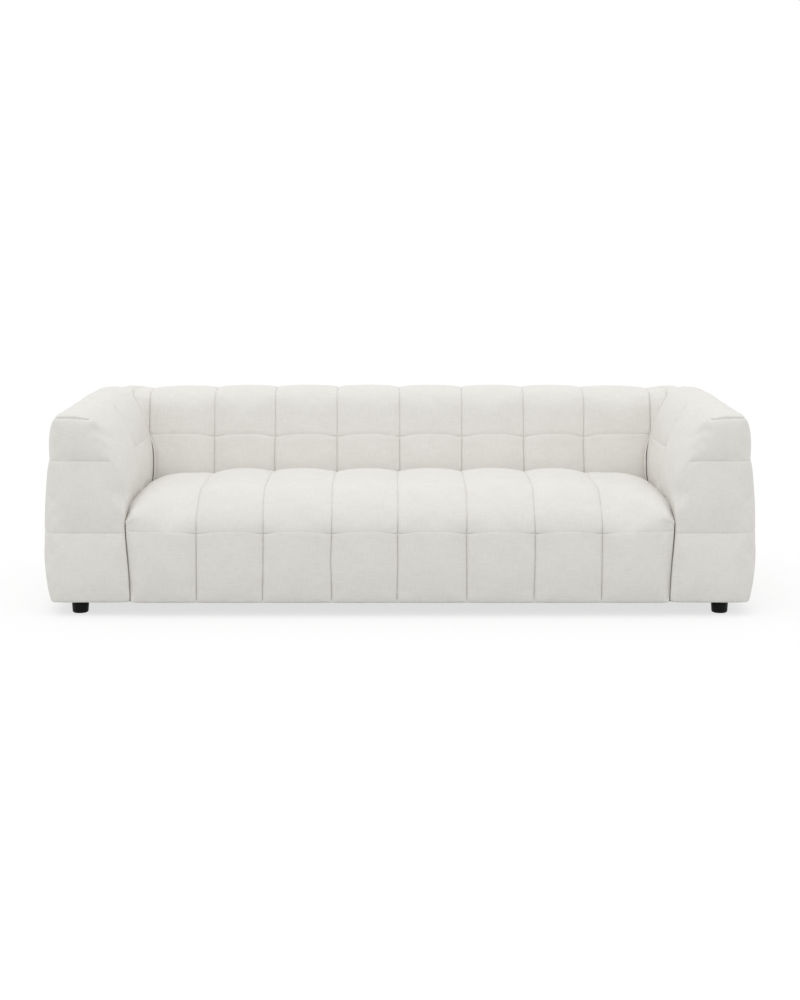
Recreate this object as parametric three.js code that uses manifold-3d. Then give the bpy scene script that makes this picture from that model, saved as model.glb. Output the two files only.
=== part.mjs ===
import * as THREE from 'three';
import { mergeVertices } from 'three/addons/utils/BufferGeometryUtils.js';
import Module from 'manifold-3d';

const wasm = await Module();
wasm.setup();

// Lengths are in millimetres. X runs to the right of someone facing the sofa, which faces -Y, and Z is up.
// The origin is on the floor, below the middle of the whole sofa.

// Whole sofa
const sofaWidth = 2464;
const sofaDepth = 1029;
const sofaHeight = 699;
const underside = 50;

// Upholstered sections: a seat and a back between two arms as tall as the back
const armWidth = 289;
const seatProud = 13;
const seatDepthShare = 0.65;
const seatHeight = 420;
const backRakeDropHeight = 60;
const backRakeDepth = 65;

// Quilting, sewn in a grid
const seatPanels = 8;
const lowerSeamHeight = 286;
const upperSeamShare = 0.764;
const seatCrossSeam = 440;
const armCrossSeam = 430;
const armRearSeam = 717;
const armTopSeam = 92;
const seatSeamDepth = 15;
const backSeamDepth = 17;
const armSeamDepth = 17;
const panelShares = [0, 0.15, 0.5, 0.85];
const crownPowerShare = 0.55;

// Soft edges of the covers, each given as how far the rounding reaches in from a side
const seatRoll = { front: 110, top: 90, ends: 26 };
const backSoftness = { front: 70, rear: 55, top: 60 };
const armSoftness = { inner: 70, outer: 46, front: 22, rear: 46, top: 50 };
const armLean = { front: 115, rear: 20 };
const armLeanStartShare = 0.572;

// Quilted cover walls
const seatFrontWall = 39;
const seatTopWall = 58;
const seatRearWall = 30;
const backFrontWall = 43;
const backTopWall = 44;
const backRearWall = 36;
const armInnerWall = 26;
const armOuterWall = 52;
const armTopWall = 44;
const armEndWall = 31;
const armCavityLeanWidth = 118;
const armCavityLeanStartShare = 0.6;
const hiddenOpeningRiseHeight = 21;

// Fits
const fitGap = 0.3;
const overrun = 20;

// Timber
const boardThickness = 25;
const panelThickness = 15;
const seatFoamHeight = 113;
const crossRailWidth = 45;
const crossRailDropHeight = 71;
const battenHeight = 140;
const battenInset = 100;

// Arm frames
const armFoamSide = 30;
const armFoamOuter = 18;
const armInnerPanelRiseHeight = 10;
const armFoamTopHeight = 44;
const armPostWidth = 44;
const armPostDepth = 45;
const footBlockDepth = 110;
const footBlockHeight = 45;

// Back frame
const backFoamFront = 40;
const backFoamRear = 24;
const backFoamTop = 34;
const backTopRailThickness = 20;

// Seat suspension
const springWire = 3.8;
const springBars = 10;
const springWidth = 48;
const springSides = 5;
const springStepsPerBar = 4;
const springBarShare = 0.6;
const clipSheet = 1.5;
const clipReach = 12;
const feltThickness = 3;
const webbingThickness = 2;
const webbingFootHeight = 20;

// Feet and fasteners
const footDiameter = 61;
const footTipDiameter = 55;
const footEdge = 3;
const footSides = 20;
const footFromSide = 129;
const footFromFront = 80;
const centreFootForward = 80;
const footHoleDepth = 28;
const studDiameter = 8;
const studHoleDiameter = 9;
const studReach = 38;
const studSides = 10;
const boltDiameter = 8;
const boltHoleDiameter = 9;
const boltHeadDiameter = 18;
const boltHeadThickness = 5;
const boltSides = 10;
const armBoltHeight = 120;
const armBoltInset = 90;
const backBoltHeight = 150;
const backBoltFromMiddle = 500;
const dustCoverThickness = 1;
const dustCoverMargin = 26;

// Places worked out from the sizes above
const front = -sofaDepth / 2;
const rear = sofaDepth / 2;
const armFront = front + seatProud;
const seatDepth = sofaDepth * seatDepthShare;
const backRakeFoot = seatHeight - backRakeDropHeight;
const upperSeamHeight = sofaHeight * upperSeamShare;
const armLeanStart = sofaHeight * armLeanStartShare;
const armCavityLeanStart = sofaHeight * armCavityLeanStartShare;
const halfWidth = sofaWidth / 2;
const armInner = halfWidth - armWidth;
const sectionHalf = armInner - fitGap;
const seatRear = front + seatDepth;
const backFront = seatRear + fitGap;
const timberBottom = underside + fitGap;
const railTop = seatHeight - seatTopWall - seatFoamHeight;
const hiddenOpeningHeight = railTop + hiddenOpeningRiseHeight;

const fabric = new THREE.MeshStandardMaterial({ color: 0xe6e1d6, roughness: 0.95, metalness: 0 });
const foam = new THREE.MeshStandardMaterial({ color: 0xe9ddb8, roughness: 0.95, metalness: 0 });
const felt = new THREE.MeshStandardMaterial({ color: 0x8d8a84, roughness: 1, metalness: 0 });
const hessian = new THREE.MeshStandardMaterial({ color: 0xb09a6e, roughness: 1, metalness: 0 });
const dustCloth = new THREE.MeshStandardMaterial({ color: 0x202020, roughness: 1, metalness: 0 });
const timber = new THREE.MeshStandardMaterial({ color: 0xc29f6d, roughness: 0.7, metalness: 0 });
const footFinish = new THREE.MeshStandardMaterial({ color: 0x17140f, roughness: 0.45, metalness: 0 });
const steel = new THREE.MeshStandardMaterial({ color: 0x8e9093, roughness: 0.35, metalness: 1 });

const sofa = new THREE.Group();

function add(name, geometry, material) {
  const mesh = new THREE.Mesh(geometry, material.clone());
  mesh.name = name;
  sofa.add(mesh);
  return mesh;
}

function forEachSide(build) {
  build('left', -1);
  build('right', 1);
}

// Plain solids

function board(xs, ys, zs) {
  const ends = [xs, ys, zs].map((pair) => [Math.min(...pair), Math.max(...pair)]);
  const [width, depth, height] = ends.map(([low, high]) => high - low);
  const middle = ends.map(([low, high]) => (low + high) / 2);
  return new THREE.BoxGeometry(width, depth, height).translate(...middle);
}

function outlineOf(points) {
  return new THREE.Shape(points.map(([u, v]) => new THREE.Vector2(u, v)));
}

function drill(shape, holes, diameter) {
  for (const [u, v] of holes) {
    const hole = new THREE.Path();
    hole.absarc(u, v, diameter / 2, 0, 2 * Math.PI);
    shape.holes.push(hole);
  }
  return shape;
}

function extrude(shape, from, to, basis) {
  const low = Math.min(from, to);
  const settings = { depth: Math.abs(to - from), bevelEnabled: false, curveSegments: boltSides };
  const geometry = new THREE.ExtrudeGeometry(shape, settings);
  geometry.translate(0, 0, low);
  return geometry.applyMatrix4(new THREE.Matrix4().makeBasis(...basis));
}

const xAxis = new THREE.Vector3(1, 0, 0);
const yAxis = new THREE.Vector3(0, 1, 0);
const zAxis = new THREE.Vector3(0, 0, 1);

// The outline holds (y, z) pairs.
function extrudeAlongX(points, from, to, holes = []) {
  return extrude(drill(outlineOf(points), holes, boltHoleDiameter), from, to, [yAxis, zAxis, xAxis]);
}

// The outline holds (x, z) pairs.
function extrudeAlongY(points, from, to, holes = []) {
  const turned = points.map(([x, z]) => [z, x]);
  const turnedHoles = holes.map(([x, z]) => [z, x]);
  const shape = drill(outlineOf(turned), turnedHoles, boltHoleDiameter);
  return extrude(shape, from, to, [zAxis, xAxis, yAxis]);
}

// The outline holds (x, y) pairs.
function extrudeAlongZ(points, from, to, holes = []) {
  return extrude(drill(outlineOf(points), holes, studHoleDiameter), from, to, [xAxis, yAxis, zAxis]);
}

function rectangle([u0, u1], [v0, v1]) {
  return [[u0, v0], [u1, v0], [u1, v1], [u0, v1]];
}

// Solids that are joined or cut

function weld(geometry) {
  const bare = geometry.clone();
  bare.deleteAttribute('normal');
  bare.deleteAttribute('uv');
  return mergeVertices(bare);
}

function toManifold(geometry) {
  const welded = weld(geometry);
  return new wasm.Manifold(new wasm.Mesh({
    numProp: 3,
    vertProperties: new Float32Array(welded.getAttribute('position').array),
    triVerts: new Uint32Array(welded.getIndex().array),
  }));
}

function cut(geometry, cutters) {
  let solid = toManifold(geometry);
  for (const cutter of cutters) {
    solid = solid.subtract(toManifold(cutter));
  }
  const mesh = solid.getMesh();
  const result = new THREE.BufferGeometry();
  result.setAttribute('position', new THREE.BufferAttribute(mesh.vertProperties, mesh.numProp));
  result.setIndex(new THREE.BufferAttribute(mesh.triVerts, 1));
  result.computeVertexNormals();
  return result;
}

function mirrorX(geometry) {
  const mirrored = geometry.clone().scale(-1, 1, 1);
  const index = mirrored.getIndex();
  for (let i = 0; i < index.count; i += 3) {
    const first = index.getX(i);
    index.setX(i, index.getX(i + 1));
    index.setX(i + 1, first);
  }
  return mirrored;
}

// Quilted blocks

const sideNames = [['left', 'right'], ['front', 'rear'], ['bottom', 'top']];

// Places along one axis, close together beside each seam.
function sampleSeams(seams) {
  const samples = [];
  for (let panel = 0; panel < seams.length - 1; panel += 1) {
    for (const share of panelShares) {
      samples.push({ at: THREE.MathUtils.lerp(seams[panel], seams[panel + 1], share), share, panel });
    }
  }
  samples.push({ at: seams.at(-1), share: 1, panel: seams.length - 2 });
  return samples;
}

// How full a panel stands at a sample: nothing on a seam, whole in the middle, and whole on an edge
// that the cover rolls over without a seam.
function crownShare(sample, panels, openLow, openHigh) {
  let turn = Math.PI * sample.share;
  if (openLow && sample.panel === 0) {
    turn = Math.PI * (1 + sample.share) / 2;
  }
  if (openHigh && sample.panel === panels - 1) {
    turn = openLow && panels === 1 ? Math.PI / 2 : Math.PI * sample.share / 2;
  }
  return Math.max(Math.sin(turn), 0) ** crownPowerShare;
}

function isOpenEdge(openEdges, one, other) {
  return openEdges.includes(`${one} ${other}`) || openEdges.includes(`${other} ${one}`);
}

// Rounds a point on the block's surface with the reach of each side's soft edge.
function soften(point, seams, softness) {
  const core = point.map((value, axis) => {
    const [lowSide, highSide] = sideNames[axis];
    const low = seams[axis][0] + (softness[lowSide] ?? 0);
    const high = seams[axis].at(-1) - (softness[highSide] ?? 0);
    return THREE.MathUtils.clamp(value, low, high);
  });
  const reach = point.map((value, axis) => softness[sideNames[axis][value > core[axis] ? 1 : 0]] ?? 0);
  const turn = point.map((value, axis) => (reach[axis] ? (value - core[axis]) / reach[axis] : 0));
  const length = Math.hypot(...turn);
  if (length === 0) {
    return point;
  }
  return core.map((value, axis) => value + (turn[axis] / length) * reach[axis]);
}

// A block whose quilted sides swell between the seams. Each axis has its list of seams, ends included.
// One more row runs on straight below its bottom, so that its cover can be cut off level there.
function quiltedBlock({ seams, quilted, openEdges, seamDepth, softness, bend }) {
  const samples = seams.map(sampleSeams);
  samples[2].unshift(samples[2][0]);
  const counts = samples.map((places) => places.length - 1);
  const geometry = weld(new THREE.BoxGeometry(1, 1, 1, ...counts));
  const position = geometry.getAttribute('position');
  for (let i = 0; i < position.count; i += 1) {
    const unit = [position.getX(i), position.getY(i), position.getZ(i)];
    const steps = unit.map((value, axis) => Math.round((value + 1 / 2) * counts[axis]));
    const chosen = steps.map((step, axis) => samples[axis][step]);
    const point = soften(chosen.map((sample) => sample.at), seams, softness);
    point[2] -= steps[2] === 0 ? overrun : 0;
    for (let axis = 0; axis < 3; axis += 1) {
      const end = steps[axis] === 0 ? 0 : 1;
      const onSide = steps[axis] === 0 || steps[axis] === counts[axis];
      const side = sideNames[axis][end];
      if (onSide && quilted.includes(side)) {
        const fullness = [0, 1, 2].filter((other) => other !== axis).reduce((share, other) => {
          const [low, high] = sideNames[other].map((name) => isOpenEdge(openEdges, side, name));
          return share * crownShare(chosen[other], seams[other].length - 1, low, high);
        }, 1);
        point[axis] += (end === 0 ? 1 : -1) * seamDepth * (1 - fullness);
      }
    }
    position.setXYZ(i, ...bend(point));
  }
  return geometry;
}

// Cuts a block off level at the underside and hollows it.
function hollow(block, cutters) {
  const levels = [underside - 2 * overrun, underside];
  const below = board([-sofaWidth, sofaWidth], [-sofaDepth, sofaDepth], levels);
  return cut(block, [below, ...cutters]);
}

function evenSeams(from, to, count) {
  return Array.from({ length: count + 1 }, (_, i) => from + ((to - from) * i) / count);
}

// How far back the face of the back lies at a height.
function rakeAt(height) {
  return Math.max(height - backRakeFoot, 0) * (backRakeDepth / (sofaHeight - backRakeFoot));
}

// Covers

const panelSeams = evenSeams(-sectionHalf, sectionHalf, seatPanels);

function seatCover() {
  const block = quiltedBlock({
    seams: [panelSeams, [front, front + seatCrossSeam, seatRear], [underside, lowerSeamHeight, seatHeight]],
    quilted: ['front', 'top'],
    openEdges: ['front top', 'front bottom', 'top rear'],
    seamDepth: seatSeamDepth,
    softness: { front: seatRoll.front, top: seatRoll.top, left: seatRoll.ends, right: seatRoll.ends },
    bend: (point) => point,
  });
  const cavity = [
    [front + seatFrontWall, -overrun],
    [front + seatFrontWall, seatHeight - seatTopWall - seatRoll.top],
    [front + seatRoll.front, seatHeight - seatTopWall],
    [seatRear - seatRearWall, seatHeight - seatTopWall],
    [seatRear - seatRearWall, hiddenOpeningHeight],
    [seatRear + overrun, hiddenOpeningHeight],
    [seatRear + overrun, -overrun],
  ];
  return hollow(block, [extrudeAlongX(cavity, -armInner - overrun, armInner + overrun)]);
}

// The face and the inside of the back lie on raked lines, each a given depth behind the face.
function backLine(depth, height) {
  return [backFront + depth + rakeAt(height), height];
}

function backCover() {
  const depth = rear - backFront;
  const block = quiltedBlock({
    seams: [panelSeams, [backFront, rear], [underside, lowerSeamHeight, upperSeamHeight, sofaHeight]],
    quilted: ['front', 'rear', 'top'],
    openEdges: ['front top', 'rear top', 'front bottom', 'rear bottom'],
    seamDepth: backSeamDepth,
    softness: backSoftness,
    bend: ([x, y, z]) => [x, y + rakeAt(z) * ((rear - y) / depth), z],
  });
  const cavity = [
    [backFront - overrun, -overrun],
    [backFront - overrun, hiddenOpeningHeight],
    backLine(backFrontWall, hiddenOpeningHeight),
    backLine(backFrontWall, backRakeFoot),
    backLine(backFrontWall, sofaHeight - backTopWall),
    [rear - backRearWall, sofaHeight - backTopWall],
    [rear - backRearWall, -overrun],
  ];
  return hollow(block, [extrudeAlongX(cavity, -armInner - overrun, armInner + overrun)]);
}

// The inner face of an arm leans outwards above the seat, most of all at its front.
function armBend([x, y, z]) {
  const share = Math.max(z - armLeanStart, 0) / (sofaHeight - armLeanStart);
  const lean = THREE.MathUtils.mapLinear(y, armFront, rear, armLean.front, armLean.rear);
  return [x + lean * share * share * ((halfWidth - x) / armWidth), y, z];
}

const armCavity = {
  inner: armInner + armInnerWall,
  outer: halfWidth - armOuterWall,
  front: armFront + armEndWall,
  rear: rear - armEndWall,
  top: sofaHeight - armTopWall,
};

const battenEnds = [armFront + battenInset, seatRear - battenInset];
const battenTop = timberBottom + battenHeight;

function rightArmCover() {
  const block = quiltedBlock({
    seams: [
      [armInner, armInner + armTopSeam, halfWidth],
      [armFront, armFront + armCrossSeam, armFront + armRearSeam, rear],
      [underside, lowerSeamHeight, upperSeamHeight, sofaHeight],
    ],
    quilted: ['left', 'right', 'front', 'rear', 'top'],
    openEdges: ['left top', 'right top', 'left bottom', 'right bottom', 'front bottom', 'rear bottom'],
    seamDepth: armSeamDepth,
    softness: {
      left: armSoftness.inner,
      right: armSoftness.outer,
      front: armSoftness.front,
      rear: armSoftness.rear,
      top: armSoftness.top,
    },
    bend: armBend,
  });
  const cavity = [
    [armCavity.inner, -overrun],
    [armCavity.inner, armCavityLeanStart],
    [armCavity.inner + armCavityLeanWidth, armCavity.top],
    [armCavity.outer, armCavity.top],
    [armCavity.outer, -overrun],
  ];
  const window = board(
    [armInner - overrun, armCavity.inner + overrun],
    [battenEnds[0] - fitGap, battenEnds[1] + fitGap],
    [-overrun, battenTop + fitGap],
  );
  return hollow(block, [extrudeAlongY(cavity, armCavity.front, armCavity.rear), window]);
}

add('seat_cover', seatCover(), fabric);
add('back_cover', backCover(), fabric);
forEachSide((name, sign) => {
  const cover = rightArmCover();
  add(`${name}_arm_cover`, sign > 0 ? cover : mirrorX(cover), fabric);
});

// Seat frame

const sideRailInner = sectionHalf - boardThickness;
const frontRailFront = front + seatFrontWall + boardThickness;
const frontRailRear = frontRailFront + boardThickness;
const rearRailFront = seatRear - boardThickness;
const sideRailEnds = [frontRailRear + fitGap, rearRailFront - fitGap];
const crossRailEnds = sideRailEnds;
const backBolts = [-backBoltFromMiddle, backBoltFromMiddle].map((x) => [x, backBoltHeight]);
const armBolts = [battenEnds[0] + armBoltInset, battenEnds[1] - armBoltInset].map((y) => [y, armBoltHeight]);

function seatFrontRail() {
  return board([-sectionHalf, sectionHalf], [frontRailFront, frontRailRear], [timberBottom, railTop]);
}

function seatRearRail() {
  const outline = rectangle([-sectionHalf, sectionHalf], [timberBottom, railTop]);
  return extrudeAlongY(outline, rearRailFront, seatRear, backBolts);
}

function seatSideRail(sign) {
  const outline = rectangle(sideRailEnds, [timberBottom, railTop]);
  return extrudeAlongX(outline, sign * sideRailInner, sign * sectionHalf, armBolts);
}

const centreFoot = [0, (front + rear) / 2 - centreFootForward];

function seatCrossRail() {
  const outline = rectangle([-crossRailWidth / 2, crossRailWidth / 2], crossRailEnds);
  return extrudeAlongZ(outline, timberBottom, railTop - crossRailDropHeight, [centreFoot]);
}

add('seat_front_rail', seatFrontRail(), timber);
add('seat_rear_rail', seatRearRail(), timber);
add('seat_cross_rail', seatCrossRail(), timber);
forEachSide((name, sign) => add(`${name}_seat_side_rail`, seatSideRail(sign), timber));

// Seat springs, held at both ends in steel clip strips on the rails

const clipBottom = railTop + fitGap;
const wireHeight = clipBottom + clipSheet + fitGap + springWire / 2;
const clipTop = wireHeight + springWire / 2 + fitGap + clipSheet;

// A channel that closes round a spring's end bar. Towards gives the way that its mouth faces.
function clipStrip(wallY, towards) {
  const inWall = wallY + towards * clipSheet;
  const mouth = wallY + towards * clipReach;
  const outline = [
    [wallY, clipBottom],
    [mouth, clipBottom],
    [mouth, clipBottom + clipSheet],
    [inWall, clipBottom + clipSheet],
    [inWall, clipTop - clipSheet],
    [mouth, clipTop - clipSheet],
    [mouth, clipTop],
    [wallY, clipTop],
  ];
  return extrudeAlongX(outline, -sideRailInner, sideRailInner);
}

const frontClipWall = frontRailRear - clipReach;
const rearClipWall = seatRear - seatRearWall + fitGap;
const springStart = frontClipWall + clipSheet + fitGap + springWire / 2;
const springEnd = rearClipWall + clipReach - clipSheet - fitGap - springWire / 2;

// Straight bars across the seat, joined by bends.
function springPath(x) {
  const pitch = (springEnd - springStart) / (springBars - 1);
  const path = new THREE.CurvePath();
  for (let bar = 0; bar < springBars; bar += 1) {
    const way = bar % 2 === 0 ? 1 : -1;
    const place = (share, y) => new THREE.Vector3(x + (way * share * springWidth) / 2, y, wireHeight);
    const y = springStart + pitch * bar;
    const barEnd = place(springBarShare, y);
    path.add(new THREE.LineCurve3(place(-springBarShare, y), barEnd));
    if (bar < springBars - 1) {
      const nextBar = place(springBarShare, y + pitch);
      path.add(new THREE.CubicBezierCurve3(barEnd, place(1, y), place(1, y + pitch), nextBar));
    }
  }
  return path;
}

function seatSpring(x) {
  const section = new THREE.Shape();
  section.absarc(0, 0, springWire / 2, 0, 2 * Math.PI);
  return new THREE.ExtrudeGeometry(section, {
    extrudePath: springPath(x),
    steps: springBars * springStepsPerBar,
    curveSegments: springSides,
    bevelEnabled: false,
  });
}

add('front_spring_clip_strip', clipStrip(frontClipWall, 1), steel);
add('rear_spring_clip_strip', clipStrip(rearClipWall + clipReach, -1), steel);
for (let seam = 1; seam < seatPanels; seam += 1) {
  add(`seat_spring_${seam}`, seatSpring(panelSeams[seam]), steel);
}

// Seat padding

const feltBottom = clipTop + fitGap;
const feltTop = feltBottom + feltThickness;
const seatFoamFront = front + seatFrontWall + fitGap;
const seatFoamRear = seatRear - seatRearWall - fitGap;
const seatFoamTop = seatHeight - seatTopWall - fitGap;

function springFelt() {
  return board([-sectionHalf, sectionHalf], [frontRailFront, seatFoamRear], [feltBottom, feltTop]);
}

// A slab with a lip that hangs down over the front rail.
function seatFoam() {
  const outline = [
    [seatFoamFront, timberBottom],
    [seatFoamFront, seatFoamTop - seatRoll.top],
    [front + seatRoll.front + fitGap, seatFoamTop],
    [seatFoamRear, seatFoamTop],
    [seatFoamRear, feltTop + fitGap],
    [frontRailFront - fitGap, feltTop + fitGap],
    [frontRailFront - fitGap, timberBottom],
  ];
  return extrudeAlongX(outline, -sectionHalf, sectionHalf);
}

add('spring_felt', springFelt(), felt);
add('seat_foam', seatFoam(), foam);

// Back frame and padding

const uprightDepth = backFrontWall + backFoamFront;
const uprightRear = rear - backRearWall - backFoamRear;
const uprightTop = sofaHeight - backTopWall - backFoamTop - backTopRailThickness;
const backRailRear = backFront + boardThickness;
const webbingBack = uprightDepth - fitGap;

function backUpright(x) {
  const outline = [
    [backRailRear + fitGap, timberBottom],
    [backRailRear + fitGap, railTop],
    backLine(uprightDepth, railTop),
    backLine(uprightDepth, backRakeFoot),
    backLine(uprightDepth, uprightTop),
    [uprightRear, uprightTop],
    [uprightRear, timberBottom],
  ];
  return extrudeAlongX(outline, x - boardThickness / 2, x + boardThickness / 2);
}

function backBottomRail() {
  const outline = rectangle([-sectionHalf, sectionHalf], [timberBottom, railTop]);
  return extrudeAlongY(outline, backFront, backRailRear, backBolts);
}

function backTopRail() {
  const zs = [uprightTop + fitGap, uprightTop + backTopRailThickness];
  const [railFront] = backLine(uprightDepth, uprightTop + backTopRailThickness);
  return board([-sectionHalf, sectionHalf], [railFront, uprightRear], zs);
}

function backWebbing() {
  const foot = hiddenOpeningHeight + webbingFootHeight;
  const outline = [
    backLine(webbingBack - webbingThickness, foot),
    backLine(webbingBack - webbingThickness, backRakeFoot),
    backLine(webbingBack - webbingThickness, uprightTop),
    backLine(webbingBack, uprightTop),
    backLine(webbingBack, backRakeFoot),
    backLine(webbingBack, foot),
  ];
  return extrudeAlongX(outline, -sectionHalf, sectionHalf);
}

// Foam over the face, the top and the rear of the frame, open below.
function backFoam() {
  const face = backFrontWall + fitGap;
  const inFace = webbingBack - webbingThickness - fitGap;
  const outerTop = sofaHeight - backTopWall - fitGap;
  const innerTop = outerTop - backFoamTop + 2 * fitGap;
  const outline = [
    backLine(face, hiddenOpeningHeight + webbingFootHeight),
    backLine(face, backRakeFoot),
    backLine(face, outerTop),
    [rear - backRearWall - fitGap, outerTop],
    [rear - backRearWall - fitGap, timberBottom],
    [uprightRear + fitGap, timberBottom],
    [uprightRear + fitGap, innerTop],
    backLine(inFace, innerTop),
    backLine(inFace, backRakeFoot),
    backLine(inFace, hiddenOpeningHeight + webbingFootHeight),
  ];
  return extrudeAlongX(outline, -sectionHalf, sectionHalf);
}

add('back_bottom_rail', backBottomRail(), timber);
add('back_top_rail', backTopRail(), timber);
add('middle_back_upright', backUpright(0), timber);
forEachSide((name, sign) => {
  add(`${name}_back_upright`, backUpright(sign * (sectionHalf - boardThickness / 2)), timber);
});
add('back_webbing', backWebbing(), hessian);
add('back_foam', backFoam(), foam);

// Arm frames and padding, worked out for the right arm and mirrored by the sign of X

const armFrameInner = armCavity.inner + armFoamSide;
const armFrameOuter = armCavity.outer - armFoamOuter;
const armFrameEnds = [armCavity.front + fitGap, armCavity.rear - fitGap];
const innerPanelTop = armCavityLeanStart + armInnerPanelRiseHeight;
const outerPanelTop = armCavity.top - armFoamTopHeight;
const blockXs = [armFrameInner + panelThickness + fitGap, armFrameOuter - panelThickness - fitGap];
const postXs = [blockXs[1] - armPostWidth, blockXs[1]];
const blockTop = timberBottom + footBlockHeight;
const footX = halfWidth - footFromSide;
const footYs = { front: armFront + footFromFront, rear: rear - footFromFront };

function xPair(sign, [from, to]) {
  return [sign * from, sign * to];
}

function armInnerPanel(sign) {
  const outline = rectangle(armFrameEnds, [timberBottom, innerPanelTop]);
  return extrudeAlongX(outline, sign * armFrameInner, sign * (armFrameInner + panelThickness), armBolts);
}

function armOuterPanel(sign) {
  const xs = xPair(sign, [armFrameOuter - panelThickness, armFrameOuter]);
  return board(xs, armFrameEnds, [timberBottom, outerPanelTop]);
}

function armPost(sign, atFront) {
  const [low, high] = armFrameEnds;
  const ys = atFront ? [low, low + armPostDepth] : [high - armPostDepth, high];
  return board(xPair(sign, postXs), ys, [blockTop + fitGap, outerPanelTop]);
}

function joiningBatten(sign) {
  const outline = rectangle(battenEnds, [timberBottom, battenTop]);
  return extrudeAlongX(outline, sign * armInner, sign * (armFrameInner - fitGap), armBolts);
}

function footBlock(sign, atFront) {
  const [low, high] = armFrameEnds;
  const ys = atFront ? [low, low + footBlockDepth] : [high - footBlockDepth, high];
  const hole = [sign * footX, atFront ? footYs.front : footYs.rear];
  return extrudeAlongZ(rectangle(xPair(sign, blockXs), ys), timberBottom, blockTop, [hole]);
}

// Foam over both faces and the top of the arm's frame. Its inner side starts above the batten.
function armFoam(sign) {
  const inner = armCavity.inner + fitGap;
  const outer = armCavity.outer - fitGap;
  const top = armCavity.top - fitGap;
  const stepX = postXs[0] - fitGap;
  const stepZ = innerPanelTop + fitGap;
  const outline = [
    [inner, battenTop + fitGap],
    [inner, armCavityLeanStart],
    [inner + armCavityLeanWidth, top],
    [outer, top],
    [outer, timberBottom],
    [armFrameOuter + fitGap, timberBottom],
    [armFrameOuter + fitGap, outerPanelTop + fitGap],
    [stepX, outerPanelTop + fitGap],
    [stepX, stepZ],
    [armFrameInner - fitGap, stepZ],
    [armFrameInner - fitGap, battenTop + fitGap],
  ];
  return extrudeAlongY(outline.map(([x, z]) => [sign * x, z]), ...armFrameEnds);
}

forEachSide((name, sign) => {
  add(`${name}_arm_inner_panel`, armInnerPanel(sign), timber);
  add(`${name}_arm_outer_panel`, armOuterPanel(sign), timber);
  add(`${name}_arm_joining_batten`, joiningBatten(sign), timber);
  add(`${name}_arm_front_post`, armPost(sign, true), timber);
  add(`${name}_arm_rear_post`, armPost(sign, false), timber);
  add(`${name}_front_foot_block`, footBlock(sign, true), timber);
  add(`${name}_rear_foot_block`, footBlock(sign, false), timber);
  add(`${name}_arm_foam`, armFoam(sign), foam);
});

// Bolts that join the seat frame to the arms and to the back

// A round-headed bolt along +Z with its head below the origin.
function bolt(length) {
  const profile = [
    [0, -boltHeadThickness],
    [boltHeadDiameter / 2, -boltHeadThickness],
    [boltHeadDiameter / 2, 0],
    [boltDiameter / 2, 0],
    [boltDiameter / 2, length],
    [0, length],
  ];
  const points = profile.map(([radius, height]) => new THREE.Vector2(radius, height));
  return new THREE.LatheGeometry(points, boltSides).rotateX(Math.PI / 2);
}

const armBoltLength = armFrameInner + panelThickness - sideRailInner + fitGap;

forEachSide((name, sign) => {
  armBolts.forEach(([y, z], i) => {
    const turned = bolt(armBoltLength).rotateY((sign * Math.PI) / 2);
    turned.translate(sign * (sideRailInner - fitGap), y, z);
    add(`${name}_${i === 0 ? 'front' : 'rear'}_arm_bolt`, turned, steel);
  });
  const turned = bolt(2 * boardThickness + 2 * fitGap).rotateX(-Math.PI / 2);
  turned.translate(sign * backBoltFromMiddle, rearRailFront - fitGap, backBoltHeight);
  add(`${name}_back_bolt`, turned, steel);
});

// Dust cover, feet and their studs

const feet = [
  { name: 'left_front', place: [-footX, footYs.front] },
  { name: 'right_front', place: [footX, footYs.front] },
  { name: 'left_rear', place: [-footX, footYs.rear] },
  { name: 'right_rear', place: [footX, footYs.rear] },
  { name: 'centre', place: centreFoot },
];
const dustCoverTop = underside - fitGap;
const dustCoverBottom = dustCoverTop - dustCoverThickness;
const footTop = dustCoverBottom - fitGap;

function dustCover() {
  const xs = [-halfWidth + armSoftness.outer, halfWidth - armSoftness.outer];
  const outline = rectangle(xs, [armFront + dustCoverMargin, rear - dustCoverMargin]);
  return extrudeAlongZ(outline, dustCoverBottom, dustCoverTop, feet.map((foot) => foot.place));
}

function foot() {
  const profile = [
    [0, 0],
    [footTipDiameter / 2 - footEdge, 0],
    [footTipDiameter / 2, footEdge],
    [footDiameter / 2, footTop],
    [studHoleDiameter / 2, footTop],
    [studHoleDiameter / 2, footTop - footHoleDepth],
    [0, footTop - footHoleDepth],
  ];
  const points = profile.map(([radius, height]) => new THREE.Vector2(radius, height));
  return new THREE.LatheGeometry(points, footSides).rotateX(Math.PI / 2);
}

function footStud() {
  const bottom = footTop - footHoleDepth + fitGap;
  const top = timberBottom + studReach;
  const rod = new THREE.CylinderGeometry(studDiameter / 2, studDiameter / 2, top - bottom, studSides);
  return rod.rotateX(Math.PI / 2).translate(0, 0, (top + bottom) / 2);
}

add('dust_cover', dustCover(), dustCloth);
for (const { name, place } of feet) {
  add(`${name}_foot`, foot().translate(...place, 0), footFinish);
  add(`${name}_foot_stud`, footStud().translate(...place, 0), steel);
}

export default sofa;
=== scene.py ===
import math

import bmesh
import bpy
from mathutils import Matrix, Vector, noise


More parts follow.
